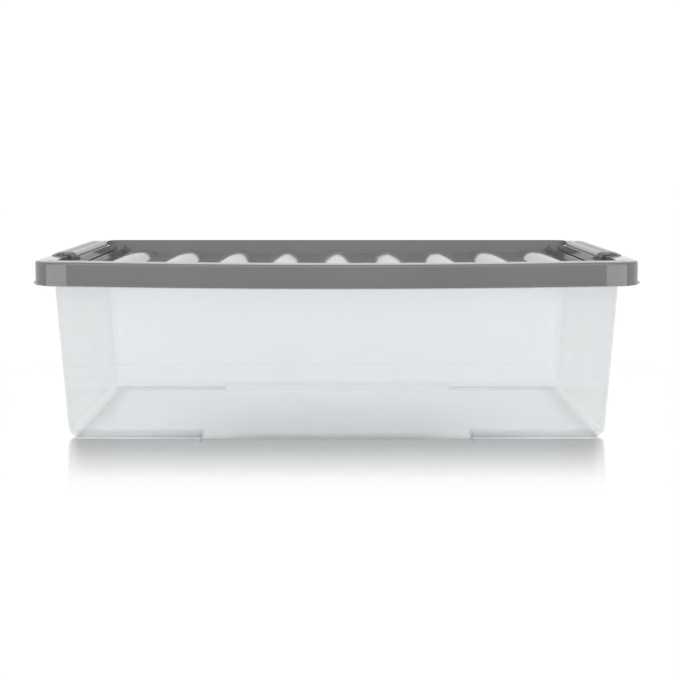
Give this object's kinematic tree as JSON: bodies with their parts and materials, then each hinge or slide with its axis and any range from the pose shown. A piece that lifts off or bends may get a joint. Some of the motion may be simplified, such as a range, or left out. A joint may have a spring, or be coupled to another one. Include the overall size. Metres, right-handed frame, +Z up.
{
  "type": "under bed storage box",
  "caption": "Low clear plastic storage box with a recessed ribbed grey lid that lifts off and hinged clips over its short sides.",
  "frame": {"origin": "centre of the footprint at the level the feet stand on", "axes": "+X along the length towards the right clip, +Y across the width towards the rear, +Z up out of the lid"},
  "size_m": [0.631, 0.401, 0.1837],
  "materials": {
    "clear_plastic": "natural polypropylene, see-through with a faint milky haze, smooth moulded",
    "grey_plastic": "solid mid grey polypropylene, satin to semi-gloss moulded",
    "grey_clip_plastic": "solid mid grey polypropylene, fine satin grain"
  },
  "bodies": {
    "tub": {"tub": "clear_plastic"},
    "lid": {"lid": "grey_plastic"},
    "clip_left": {"clip_left": "grey_clip_plastic"},
    "clip_right": {"clip_right": "grey_clip_plastic"}
  },
  "joints": [
    {"name": "lid_lift", "type": "slide", "parent": "tub", "child": "lid", "axis": [0, 0, 1], "range_m": [0, 0.15]},
    {"name": "clip_left_hinge", "type": "hinge", "parent": "lid", "child": "clip_left", "pos_m": [-0.2735, 0, 0.1795], "axis": [0, 1, 0], "range_deg": [0, 120]},
    {"name": "clip_right_hinge", "type": "hinge", "parent": "lid", "child": "clip_right", "pos_m": [0.2735, 0, 0.1795], "axis": [0, -1, 0], "range_deg": [0, 120]}
  ]
}
